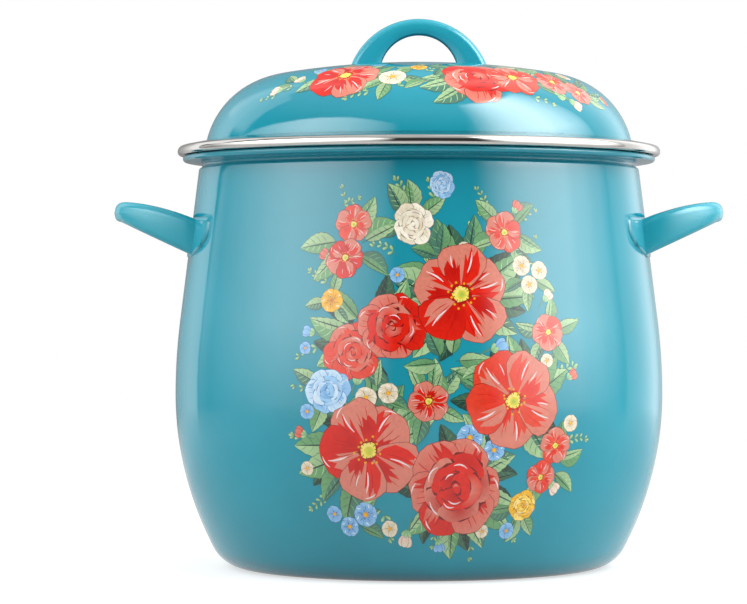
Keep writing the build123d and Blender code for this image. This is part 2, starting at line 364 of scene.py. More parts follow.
def tinted(tree, factor, first, second):
    """Colour ramp between two linear colours."""
    node = tree.nodes.new("ShaderNodeValToRGB")
    node.color_ramp.elements[0].color = (*first, 1)
    node.color_ramp.elements[1].color = (*second, 1)
    node.color_ramp.elements[0].position = 0.3
    node.color_ramp.elements[1].position = 0.7
    tree.links.new(factor, node.inputs["Fac"])
    return node.outputs["Color"]


def bumped(tree, shader, source, strength, distance):
    node = tree.nodes.new("ShaderNodeBump")
    node.inputs["Strength"].default_value = strength
    node.inputs["Distance"].default_value = distance
    tree.links.new(source, node.inputs["Height"])
    tree.links.new(node.outputs["Normal"], shader.inputs["Normal"])


def glassy(tree, shader):
    """Glass layer with a slight orange-peel skin; returns the noise of the skin."""
    shader.inputs["IOR"].default_value = 1.52
    peel = add_noise(tree, 95, 2).outputs["Fac"]
    bumped(tree, shader, peel, 0.12, 0.0004)
    return peel


def enamel(name, colour, spread=0.06, gloss=(0.05, 0.085)):
    """Vitreous enamel: even colour with a faint cloudiness and a slight orange-peel skin."""
    material, tree, shader = node_material(name)
    base = linear(colour)
    cloud = add_noise(tree, 14, 5)
    dark = tuple(c * (1 - spread) for c in base)
    light = tuple(min(1, c * (1 + spread)) for c in base)
    tree.links.new(tinted(tree, cloud.outputs["Fac"], dark, light), shader.inputs["Base Color"])
    tree.links.new(ranged(tree, cloud.outputs["Fac"], *gloss, 0.3, 0.7), shader.inputs["Roughness"])
    glassy(tree, shader)
    return material


def metal(name, colour, gloss, grain=900.0):
    """Polished or plated metal with fine wear in its finish."""
    material, tree, shader = node_material(name)
    base = linear(colour)
    wear = add_noise(tree, 60, 6, 0.65)
    dark = tuple(c * 0.9 for c in base)
    tree.links.new(tinted(tree, wear.outputs["Fac"], dark, base), shader.inputs["Base Color"])
    tree.links.new(ranged(tree, wear.outputs["Fac"], *gloss, 0.3, 0.7), shader.inputs["Roughness"])
    shader.inputs["Metallic"].default_value = 1.0
    fine = add_noise(tree, grain, 2)
    bumped(tree, shader, fine.outputs["Fac"], 0.08, 0.00005)
    return material


def print_material():
    """Printed decoration fired under the gloss, coloured by the artwork's own inks."""
    material, tree, shader = node_material("enamel_print")
    ink = tree.nodes.new("ShaderNodeVertexColor")
    ink.layer_name = "ink"
    tree.links.new(ink.outputs["Color"], shader.inputs["Base Color"])
    peel = glassy(tree, shader)
    tree.links.new(ranged(tree, peel, 0.06, 0.1, 0.3, 0.7), shader.inputs["Roughness"])
    return material


TEAL_ENAMEL = enamel("teal_enamel", TEAL)
# lighter copy of the teal enamel for the handles: painted light, not a different enamel
LIGHTENED_HANDLE_ENAMEL = enamel("handle_enamel_painted_light", LIT_HANDLE_TEAL, 0.06, (0.18, 0.26))
PALE_ENAMEL = enamel("pale_enamel", CREAM_ENAMEL, 0.03, (0.12, 0.2))
STEEL_BAND = metal("polished_steel", STEEL, (0.05, 0.09))
PLATED_WIRE = metal("plated_wire", WIRE, (0.16, 0.28), 500.0)
PRINT = print_material()

# ---- pot, lid and band -------------------------------------------------------------------
def bead(centre, radius, start, end, steps=16):
    """Points round a rolled edge, angles in degrees, anticlockwise when end > start."""
    angles = [radians(start + (end - start) * k / steps) for k in range(steps + 1)]
    return [polar(*centre, radius, a) for a in angles]


pot_inner = parallel(POT_WALL, WALL)[::-1]
pot_line = [(0, 0), (BASE_RING_R, 0)] + POT_WALL[:-1]
rim_centre = (RIM_R - RIM_BEAD_R, RIM_TOP_Z - RIM_BEAD_R)
pot_line += bead(rim_centre, RIM_BEAD_R, -100, 190, 22)
rim_count = len(pot_line)
pot_line += pot_inner[1:] + [(BASE_RING_R, WALL), (0, WALL)]
pot = revolved("pot_shell", pot_line, [TEAL_ENAMEL, PALE_ENAMEL], lambda j: int(j >= rim_count - 1))
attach(pot, "pot")
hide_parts("pot_body")

flange = rounded([DOME[-1], LID_FLANGE_START, LID_FLANGE_END], [0.6])
lid_outer = DOME[:-1] + flange
lid_inner = parallel(DOME, -WALL)
lid_line = lid_outer[:-1] + bead(LID_BEAD, LID_BEAD_R, 100, -190, 20)
lid_outside = len(lid_line)
lid_line += [FLANGE_UNDERSIDE, (SKIRT_R + SKIRT_FILLET[0], SKIRT_FILLET[1]), (SKIRT_R, SKIRT_TOP_Z)]
lid_line += [(SKIRT_R, SKIRT_BOTTOM_Z + SKIRT_EDGE), (SKIRT_R - WALL / 2, SKIRT_BOTTOM_Z)]
lid_line += [(SKIRT_R - WALL, SKIRT_BOTTOM_Z + SKIRT_EDGE), (SKIRT_R - WALL, SKIRT_INNER_TOP_Z)]
lid_line += [p for p in lid_inner[::-1] if p[1] > LID_INNER_FOOT_Z]
lid = revolved("lid_dome", lid_line, [TEAL_ENAMEL, PALE_ENAMEL], lambda j: int(j >= lid_outside - 1))
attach(lid, "lid")
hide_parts("lid_shell")

band_low = RIM_TOP_Z + REST_GAP
band_start = (LID_FOOT_R + 0.3, LID_FOOT_Z + 0.1)
band_corners = [band_start, (BAND_R, BAND_SHOULDER_Z), (BAND_R, band_low), (BAND_INNER_R, band_low)]
band_outer = rounded(band_corners, BAND_CORNER_RADII, 10)
band_inner = parallel(band_outer, -BAND_WALL)
band_line = band_outer + band_inner[::-1]
band = revolved("lid_steel_band", band_line, [STEEL_BAND])
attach(band, "lid")
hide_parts("lid_rim_band")
for piece in (pot, lid, band):
    outwards(piece)

# ---- handles -----------------------------------------------------------------------------
# lower corner, upper corner, wall, bulge of the outer face
SIDE_SECTION = (4.0, 5.6, STRAP_WALL, 0.35)
LID_SECTION = (4.4, 4.4, STRAP_WALL, 0.5)
SIDE_TIP_X, SIDE_TIP_THICK = 206.5, 10.0
SIDE_CENTRE_X, SIDE_HALF, SIDE_FOOT_THICK = 140.0, 46.0, 14.0
SIDE_SWEEP = 81.0                # degrees each way from the tip to where the loop meets the wall
SIDE_STEPS, ARCH_STEPS = 60, 56
SIDE_TOP_LINE = (138.0, 229.4), (172.0, 242.0), (198.5, 246.6)
SIDE_BOTTOM_START, SIDE_BOTTOM_RISE, SIDE_BOTTOM_RUN, SIDE_BOTTOM_END_X = (138.0, 204.0), 29.4, 64.0, 202.0
SIDE_SINK, LID_SINK = 0.6, 0.4   # the handles' feet end this far inside the enamel


def side_top(x):
    """Upper line of the side handle: a shallow arc that flattens towards the tip."""
    a, b, c = SIDE_TOP_LINE
    x = min(x, c[0])
    return (
        a[1] * (x - b[0]) * (x - c[0]) / ((a[0] - b[0]) * (a[0] - c[0]))
        + b[1] * (x - a[0]) * (x - c[0]) / ((b[0] - a[0]) * (b[0] - c[0]))
        + c[1] * (x - a[0]) * (x - b[0]) / ((c[0] - a[0]) * (c[0] - b[0]))
    )


def side_bottom(x):
    """Lower line of the side handle: straight up to its end, level beyond that."""
    start_x, start_z = SIDE_BOTTOM_START
    return start_z + (min(x, SIDE_BOTTOM_END_X) - start_x) * SIDE_BOTTOM_RISE / SIDE_BOTTOM_RUN


def side_place(spot, share, rise, end):
    """Point of a side handle; the loop's ends follow the wall's curve."""
    x, y = spot
    z = side_bottom(x) * (1 - share) + side_top(x) * share + rise
    if end:
        for _ in range(3):
            x = sqrt(radius_at(POT_WALL, z) ** 2 - y**2) - SIDE_SINK
            z = side_bottom(x) * (1 - share) + side_top(x) * share + rise
    return (x, y, z)


def side_stations():
    """Seen from above the loop is part of an ellipse that leaves the wall at a slant."""
    stations = []
    for k in range(SIDE_STEPS + 1):
        a = radians(SIDE_SWEEP * (2 * k / SIDE_STEPS - 1))
        outer = (SIDE_CENTRE_X + (SIDE_TIP_X - SIDE_CENTRE_X) * cos(a), SIDE_HALF * sin(a))
        reach = SIDE_TIP_X - SIDE_TIP_THICK - SIDE_CENTRE_X
        inner = (SIDE_CENTRE_X + reach * cos(a), (SIDE_HALF - SIDE_FOOT_THICK) * sin(a))
        stations.append((outer, inner))
    return stations


def closed_round(corners, radii, steps=8):
    """Closed outline with all its corners rounded."""
    count = len(corners)
    result = []
    for k in range(count):
        around = [corners[k - 1], corners[k], corners[(k + 1) % count]]
        result += rounded(around, [radii[k]], steps)[1:-1]
    dense = []
    for a, b in zip(result, result[1:] + result[:1]):
        dense += straight(a, b, 3.0)
    return dense


def on_wall(y, z, height):
    """Point on the pot's wall on the +X side."""
    return (sqrt((radius_at(POT_WALL, z) + height) ** 2 - y**2), y, z)


PAD_CORNERS = [(24.0, 236.0), (69.0, 235.0), (70.5, 221.5), (56.0, 213.5), (38.0, 208.5), (24.0, 208.5)]
PAD_RADII = [2.5, 6.0, 9.0, 18.0, 10.0, 2.5]
SIDE_PAD_THICK, LID_PAD_THICK = 1.5, 1.2
for sign, side in ((1, "right"), (-1, "left")):
    pieces = [strap(f"side_loop_{side}", side_stations(), SIDE_SECTION, side_place, [LIGHTENED_HANDLE_ENAMEL])]
    for half, face in ((1, "back"), (-1, "front")):
        outline = closed_round([(half * y, z) for y, z in PAD_CORNERS], PAD_RADII)
        pieces.append(pad(f"side_pad_{side}_{face}", outline, SIDE_PAD_THICK, on_wall, [TEAL_ENAMEL]))
    for piece in pieces:
        if sign < 0:
            piece.data.transform(Matrix.Rotation(pi, 4, "Z"))
        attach(piece, "pot")
        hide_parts(f"handle_{side}")

# the lid's arched handle
ARCH_R, ARCH_Z, GAP_R, GAP_Z = 49.0, 322.0, 27.0, 334.2
ARCH_HALF, GAP_HALF = radians(70.4), radians(77.6)
FOOT_W, TOP_W = 23.0, 14.0


def dome_height(r):
    """Height of the lid's outside at a distance from the axis."""
    for (r0, z0), (r1, z1) in zip(DOME, DOME[1:]):
        if r0 <= r <= r1:
            return z0 + (z1 - z0) * (r - r0) / (r1 - r0)
    return DOME[-1][1]


def lid_place(spot, share, rise, end):
    """Point of the lid's handle, which narrows upwards; its ends follow the dome."""
    x, z = spot
    if end:
        z = dome_height(abs(x)) - LID_SINK
    width = FOOT_W + (TOP_W - FOOT_W) * (z - GAP_Z) / (ARCH_Z + ARCH_R - GAP_Z)
    return (x, width * (share - 0.5) + rise, z)


def on_dome(x, y, height):
    """Point on the lid's outside."""
    return (x, y, dome_height(hypot(x, y)) + height)


lid_stations = []
for k in range(ARCH_STEPS + 1):
    t = 2 * k / ARCH_STEPS - 1
    a, b = ARCH_HALF * t, GAP_HALF * t
    outer = (ARCH_R * sin(a), ARCH_Z + ARCH_R * cos(a))
    inner = (GAP_R * sin(b), GAP_Z + GAP_R * cos(b))
    lid_stations.append((outer, inner))
lid_pieces = [strap("lid_arch", lid_stations, LID_SECTION, lid_place, [LIGHTENED_HANDLE_ENAMEL])]
PAD_X, PAD_HALF, PAD_POINTS = 37.5, (14.5, 13.6), 40
for sign, side in ((1, "right"), (-1, "left")):
    oval = []
    for k in range(PAD_POINTS):
        a = radians(360 / PAD_POINTS * k)
        oval.append((sign * PAD_X + PAD_HALF[0] * cos(a), PAD_HALF[1] * sin(a)))
    lid_pieces.append(pad(f"lid_pad_{side}", oval, LID_PAD_THICK, on_dome, [TEAL_ENAMEL]))
for piece in lid_pieces:
    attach(piece, "lid")
    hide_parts("lid_handle")

# the rack keeps its CAD wires and gets the plated finish
for name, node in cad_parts.items():
    if name.startswith("rack_"):
        node.data.materials.clear()
        node.data.materials.append(PLATED_WIRE)

# ---- printed bouquet, drawn flat in millimetres and laid on the enamel -------------------
RED, DARK_RED, SALMON = (218, 34, 18), (186, 18, 12), (212, 126, 108)
CORAL, DEEP, FROST = (222, 70, 48), (118, 16, 18), (232, 214, 214)
LIGHT_LEAF, LEAF, GREY_LEAF = (172, 208, 154), (118, 172, 118), (84, 134, 112)
BROWN, YELLOW, GOLD = (66, 46, 42), (242, 186, 40), (214, 146, 30)
CREAM, BUFF, PINK = (232, 222, 198), (206, 188, 156), (228, 178, 168)
SKY, BLUE, DARK_BLUE = (146, 194, 230), (92, 152, 208), (50, 98, 160)
GREEN_EYE, YELLOW_EYE = (120, 172, 78), (236, 214, 72)
SHADE_LEAVES = ((44, 74, 62), (66, 108, 84))
SHADE_LINE, LEAF_LINE, SPRIG_LINE, VEIN = (30, 50, 46), (46, 70, 60), (70, 108, 88), (84, 128, 96)
PALE_LINE, WARM_LINE, AMBER_LINE, BLUE_LINE = (150, 132, 104), (150, 110, 96), (150, 96, 20), (84, 134, 186)
LEAF_INKS = ((LEAF, LIGHT_LEAF), (GREY_LEAF, LEAF), (LIGHT_LEAF, LEAF), (GREY_LEAF, LIGHT_LEAF))
BRUSH_LIGHT, STIGMA = (244, 246, 248), (236, 226, 168)


class Artwork:
    """Flat shapes in drawing order; each has an inner and an outer ink and a centre."""

    def __init__(self, seed):
        self.shapes = []
        self.random = random.Random(seed)

    def shape(self, points, inner, outer=None, centre=None, reach=None):
        area = sum(a[0] * b[1] - b[0] * a[1] for a, b in zip(points, points[1:] + points[:1]))
        if abs(area) < 0.05:
            return
        if area < 0:
            points = points[::-1]
        if centre is None:
            centre = [sum(p[i] for p in points) / len(points) for i in (0, 1)]
        if reach is None:
            reach = max(hypot(p[0] - centre[0], p[1] - centre[1]) for p in points)
        self.shapes.append((points, linear(inner), linear(outer or inner), centre, reach))

    def blob(self, x, y, rx, ry, turn, inner, outer=None, wobble=0.06, count=14):
        """Oval with a slightly wavy edge."""
        lobes, phase = self.random.choice((3, 4, 5)), self.random.uniform(0, 6.28)
        c, s = cos(turn), sin(turn)
        points = []
        for k in range(count):
            a = 2 * pi * k / count
            swell = 1 + wobble * sin(lobes * a + phase)
            u, v = rx * swell * cos(a), ry * swell * sin(a)
            points.append((x + u * c - v * s, y + u * s + v * c))
        self.shape(points, inner, outer, (x, y), max(rx, ry))

    def stroke(self, start, end, width, ink, bend=0.0, count=5):
        """Tapering brush stroke, bent sideways by a share of its length."""
        a, b = Vector(start), Vector(end)
        along = b - a
        across = Vector((-along.y, along.x))
        if along.length < 0.3:
            return
        line = []
        for k in range(count + 1):
            t = k / count
            line.append(a + along * t + across * bend * 4 * t * (1 - t))
        side = across.normalized() * width / 2
        left, right = [], []
        for k, p in enumerate(line):
            t = k / count
            share = sin(pi * (0.12 + 0.8 * t))
            left.append(tuple(p + side * share))
            right.append(tuple(p - side * share))
        self.shape(left + right[::-1], ink, ink, tuple(a), along.length)

    def petal(self, x, y, turn, length, width, inner, outer, ruffle, line):
        """Petal growing from (x, y), with a dark edge; returns a function from its own shares to places."""
        c, s = cos(turn), sin(turn)
        phase = self.random.uniform(0, 6.28)
        lean = self.random.uniform(-0.08, 0.08)

        def outline(grow):
            points = []
            count = 18
            for k in range(count):
                a = -pi + 2 * pi * (k + 0.5) / count
                tip = max(0, cos(a))
                swell = 1 + ruffle * tip * sin(5 * a + phase) - 0.1 * tip**10
                u = length * 0.53 + length * 0.47 * swell * cos(a)
                taper = 0.42 + 0.58 * min(1, u / (0.62 * length))
                v = width / 2 * sin(a) * taper * swell + lean * u
                centre_u = length * 0.53
                u = centre_u + (u - centre_u) * grow[0]
                v = v * grow[1]
                points.append((x + u * c - v * s, y + u * s + v * c))
            return points

        edge = 0.32 if length > 12 else 0.22
        self.shape(outline((1 + 2 * edge / length, 1 + 2.2 * edge / width)), line)
        self.shape(outline((1, 1)), inner, outer, (x, y), length)

        def spot(u, v):
            u, v = u * length, v * width / 2 + lean * u * length
            return (x + u * c - v * s, y + u * s + v * c)
        return spot

    def flare(self, spot, side, ink, other, reach):
        """Ragged brush patch that runs up one side of a petal from its foot."""
        edge = [(0.18, 0.0), (0.42, 0.05), (0.82, 0.1), (0.66, 0.2), (1.0, 0.34), (0.76, 0.42),
                (0.9, 0.58), (0.64, 0.7), (0.42, 0.64), (0.24, 0.32)]
        points = [spot(reach * u * self.random.uniform(0.93, 1.04), side * v) for u, v in edge]
        self.shape(points, ink, other)

    # ---- flowers ----------------------------------------------------------------------
    def poppy(self, x, y, r, turn, inks, count=5):
        """Open bloom: broad ruffled petals in red and salmon, pale brush lights and a green eye."""
        rng = self.random
        deep, main, light = inks
        order = list(range(count))
        rng.shuffle(order)
        for k in order:
            angle = turn + 2 * pi * k / count + rng.uniform(-0.1, 0.1)
            length = r * rng.uniform(0.94, 1.08)
            width = length * 2 * pi / count * rng.uniform(0.78, 0.88)
            fair = rng.random() < 0.6
            inner, outer = (light, light) if fair else (deep, main)
            spot = self.petal(x, y, angle, length, width, inner, outer, 0.06, DEEP)
            if r < 7:
                continue
            side = rng.choice((-1, 1))
            contrast = main if fair else light
            self.flare(spot, side, contrast, contrast, rng.uniform(0.78, 0.96))
            self.flare(spot, -side, deep, main, rng.uniform(0.5, 0.78))
            for lane in (-0.5, -0.2, 0.1, 0.38):
                off = lane + rng.uniform(-0.1, 0.1)
                tip = spot(rng.uniform(0.6, 0.84), off)
                self.stroke(spot(0.3, off * 0.5), tip, r * 0.016, deep, 0.05 if off > 0 else -0.05)
            lit = side * rng.uniform(0.1, 0.4)
            self.stroke(spot(0.42, lit * 0.6), spot(0.82, lit), r * 0.034, FROST, 0.06 * side)
            if rng.random() < 0.6:
                self.stroke(spot(0.5, -lit), spot(0.74, -lit * 1.3), r * 0.022, FROST, -0.05 * side)
            if rng.random() < 0.5:
                glint = spot(0.8, side * 0.56), spot(0.93, side * 0.16)
                self.stroke(*glint, r * 0.026, FROST, 0.1 * side)
        eye = r * 0.15
        self.blob(x, y, eye * 1.45, eye * 1.3, turn, DEEP, deep, 0.14, 16)
        self.blob(x, y, eye * 1.12, eye, turn, STIGMA, YELLOW_EYE, 0.1, 14)
        shift = eye * 0.1
        self.blob(x + shift, y - shift, eye * 0.72, eye * 0.62, turn, GREEN_EYE, YELLOW_EYE, 0.12, 12)
        stamens = 12 if r > 12 else 8
        for k in range(stamens):
            a = turn + 2 * pi * k / stamens + rng.uniform(-0.15, 0.15)
            reach = eye * rng.uniform(1.25, 1.9)
            tip = polar(x, y, reach, a)
            self.stroke(polar(x, y, eye * 0.8, a), tip, r * 0.016, BROWN, 0.04)
            self.blob(*tip, r * 0.026, r * 0.026, 0, YELLOW, GOLD, 0.0, 6)

    def rose(self, x, y, r, turn, inks, line=DEEP):
        """Full bloom: loose outer petals, then cupped ones wound towards a tight heart."""
        rng = self.random
        deep, main, light = inks
        pale = SALMON if line == DEEP else light
        for k in range(6):
            angle = turn + 2 * pi * k / 6 + rng.uniform(-0.14, 0.14)
            fair = rng.random() < 0.5
            inner, outer = (main, pale) if fair else (deep, main)
            length = r * rng.uniform(0.92, 1.08)
            width = r * rng.uniform(0.92, 1.1)
            spot = self.petal(x, y, angle, length, width, inner, outer, 0.06, line)
            side = rng.choice((-1, 1))
            inner, outer = (main, deep) if fair else (pale, main)
            self.flare(spot, side, inner, outer, rng.uniform(0.82, 0.95))
            for lane in (-0.45, 0.0, 0.45):
                off = lane + rng.uniform(-0.15, 0.15)
                self.stroke(spot(0.58, off * 0.8), spot(0.86, off), r * 0.018, deep, 0.06)
            if rng.random() < 0.5:
                self.stroke(spot(0.8, side * 0.5), spot(0.92, side * 0.1), r * 0.03, FROST, 0.1 * side)
        for depth, (away, size, number) in enumerate(((0.4, 0.36, 5), (0.27, 0.3, 4), (0.14, 0.24, 3))):
            for k in range(number):
                a = turn + 1.1 * depth + 2 * pi * k / number + rng.uniform(-0.25, 0.25)
                off = away * rng.uniform(0.85, 1.15)
                cx, cy = polar(x, y, r * off, a)
                rx, ry = r * size * rng.uniform(0.62, 0.78), r * size * rng.uniform(1.0, 1.25)
                self.blob(cx, cy, rx + 0.22, ry + 0.22, a, line, line, 0.08, 16)
                inner = rng.choice((deep, main, pale))
                outer = rng.choice((main, pale)) if depth < 2 else main
                self.blob(cx, cy, rx, ry, a, inner, outer, 0.08, 16)
                c, s = cos(a), sin(a)
                if rng.random() < 0.45:
                    hx, hy, w = cx + rx * 0.6 * c, cy + rx * 0.6 * s, ry * rng.uniform(0.35, 0.6)
                    self.stroke((hx + w * s, hy - w * c), (hx - w * s, hy + w * c), r * 0.032, FROST, -0.2)
                if rng.random() < 0.5:
                    hx, hy = cx - rx * 0.1 * c, cy - rx * 0.1 * s
                    self.blob(hx, hy, rx * 0.3, ry * 0.5, a, pale, inner, 0.15, 10)
        self.stroke((x - r * 0.12, y), (x + r * 0.1, y + r * 0.05), r * 0.06, line, 0.5)
        self.stroke((x + r * 0.1, y + r * 0.02), (x - r * 0.06, y - r * 0.1), r * 0.05, line, 0.5)
        self.stroke((x - r * 0.05, y + r * 0.02), (x + r * 0.05, y + r * 0.03), r * 0.05, light, 0.4)

    def collar(self, x, y, r, angles, reach=1.0, shaded=False):
        """Leaves that look out from under a bloom, at the given angles in degrees."""
        rng = self.random
        start = r * 0.62
        for angle in angles if shaded else ():
            a = radians(angle + 21 + rng.uniform(-8, 8))
            length, turn = r * reach * 0.9 + 5.5, a + rng.uniform(-0.3, 0.3)
            self.leaf(*polar(x, y, start, a), length, turn, 0.5, SHADE_LEAVES, 6, SHADE_LINE)
        for angle in angles:
            a = radians(angle + rng.uniform(-7, 7))
            length = r * reach * rng.uniform(0.85, 1.15) + 6.5
            inks = rng.choice(LEAF_INKS)
            turn, width = a + rng.uniform(-0.3, 0.3), rng.uniform(0.46, 0.58)
            self.leaf(*polar(x, y, start, a), length, turn, width, inks, rng.choice((5, 6, 7)))

    def small(self, x, y, r, turn, inks, eye, line, count=5):
        """Simple open flower with dark stamens round its eye."""
        for k in range(count):
            a = turn + 2 * pi * k / count + self.random.uniform(-0.1, 0.1)
            spot = self.petal(x, y, a, r, r * 1.25, *inks, 0.03, line)
            if r > 6:
                self.stroke(spot(0.35, 0), spot(0.75, 0.1), r * 0.05, line, 0.04)
                self.stroke(spot(0.55, -0.5), spot(0.86, -0.3), r * 0.07, BRUSH_LIGHT, 0.1)
        self.blob(x, y, r * 0.24, r * 0.22, 0, eye, GOLD, 0.1, 10)
        for k in range(5):
            a = 2 * pi * (k + 0.5) / 5
            self.blob(*polar(x, y, r * 0.34, a), r * 0.05, r * 0.05, 0, BROWN, BROWN, 0, 6)

    def bud(self, x, y, r, turn, inks, line):
        """Closed flower on a short stalk, held by three small leaves."""
        c, s = cos(turn), sin(turn)
        foot = (x - 0.5 * r * c, y - 0.5 * r * s)
        self.stroke((x - 2.1 * r * c, y - 2.1 * r * s), (x, y), r * 0.22, GREY_LEAF, 0.08)
        for off, wide in ((-0.34, 0.9), (0.34, 0.9), (0.0, 0.86)):
            self.petal(*foot, turn + off, 1.75 * r, wide * r, *inks, 0.03, line)
        foot = (x - 0.8 * r * c, y - 0.8 * r * s)
        for off in (-0.55, 0.0, 0.55):
            self.petal(*foot, turn + off, 0.95 * r, 0.42 * r, LEAF, LIGHT_LEAF, 0.0, GREY_LEAF)

    # ---- greenery ---------------------------------------------------------------------
    def leaf(self, x, y, length, turn, width, inks, teeth, line=LEAF_LINE):
        """Serrated leaf from its stalk end, one half lighter, with a midrib and veins."""
        c, s = cos(turn), sin(turn)
        curve = self.random.uniform(-0.14, 0.14) * length
        half = width * length / 2

        def at(u, v):
            v += curve * 4 * u * (1 - u)
            return (x + u * length * c - v * s, y + u * length * s + v * c)

        def edge(u, side, grow=0.0):
            body = sin(pi * min(1, u) ** 0.78) ** 0.85 if 0 < u < 1 else 0
            saw = 1 + 0.13 * ((u * teeth) % 1 - 0.5)
            return at(u, side * (half * body * saw + grow))

        steps = teeth * 3
        grow = 0.28
        ring = [edge(k / steps, 1, grow) for k in range(steps + 1)]
        ring += [edge(k / steps, -1, grow) for k in range(steps, -1, -1)]
        self.shape(ring, line)
        for side, ink in ((1, inks[0]), (-1, inks[1])):
            rib = [at(k / 6, 0) for k in range(6, -1, -1)]
            blade = [edge(k / steps, side) for k in range(steps + 1)]
            darker = tuple(int(v * 0.82) for v in ink)
            self.shape(blade + rib, darker, ink, at(0.1, 0), length)
        for k in range(1, 5):
            u = 0.08 + 0.16 * k
            for side, ink in ((1, inks[1]), (-1, VEIN)):
                reach = half * sin(pi * (u + 0.1) ** 0.78) * 0.78
                tip = at(min(0.95, u + 0.14), side * reach)
                self.stroke(at(u, 0), tip, length * 0.018, ink, side * 0.08)
        self.stroke(at(-0.12, 0), at(0.96, 0), length * 0.032, line, 0.0, 6)

    def sprig(self, x, y, length, turn, pairs, size=0.24):
        """Curved stem with small paired leaves and one at its end."""
        rng = self.random
        bend = rng.uniform(-0.16, 0.16)
        c, s = cos(turn), sin(turn)
        self.stroke((x, y), (x + length * c, y + length * s), length * 0.03, GREY_LEAF, bend, 8)
        for k in range(pairs):
            t = 0.2 + 0.72 * k / max(1, pairs - 1)
            px = x + length * (t * c - bend * 4 * t * (1 - t) * s)
            py = y + length * (t * s + bend * 4 * t * (1 - t) * c)
            for side in (1, -1):
                a = turn + side * rng.uniform(0.55, 0.85)
                blade = length * size * (1.1 - 0.45 * t)
                self.petal(px, py, a, blade, blade * 0.42, LEAF, LIGHT_LEAF, 0.0, SPRIG_LINE)
        blade = length * size
        self.petal(*polar(x, y, length * 0.93, turn), turn, blade * 0.8, blade * 0.34,
                   LEAF, LIGHT_LEAF, 0.0, SPRIG_LINE)


WHITES, WARM, ICE, SUN = (BUFF, CREAM), (PINK, CREAM), (BLUE, SKY), (GOLD, YELLOW)
FIRE, FLAME = (DARK_RED, RED, SALMON), (RED, CORAL, SALMON)
PALE_BLUE, SOFT_BLUE = (BLUE, SKY, (190, 216, 236)), (BLUE, SKY, (196, 220, 238))
# small flowers: petals, eye, outline
DAISY, BLUET = (WHITES, YELLOW, PALE_LINE), (ICE, YELLOW, DARK_BLUE)
SUNNY, BUTTERCUP = (SUN, (176, 92, 30), AMBER_LINE), (SUN, YELLOW, AMBER_LINE)
# buds: petals, outline
BLUE_BUD, PINK_BUD = (ICE, DARK_BLUE), (WARM, WARM_LINE)
CORAL_BUD, GREEN_BUD = ((CORAL, SALMON), DEEP), ((LEAF, LIGHT_LEAF), GREY_LEAF)
OLD, YELLOWS = (BUFF, CREAM, (246, 240, 224)), (GOLD, YELLOW, (250, 222, 120))


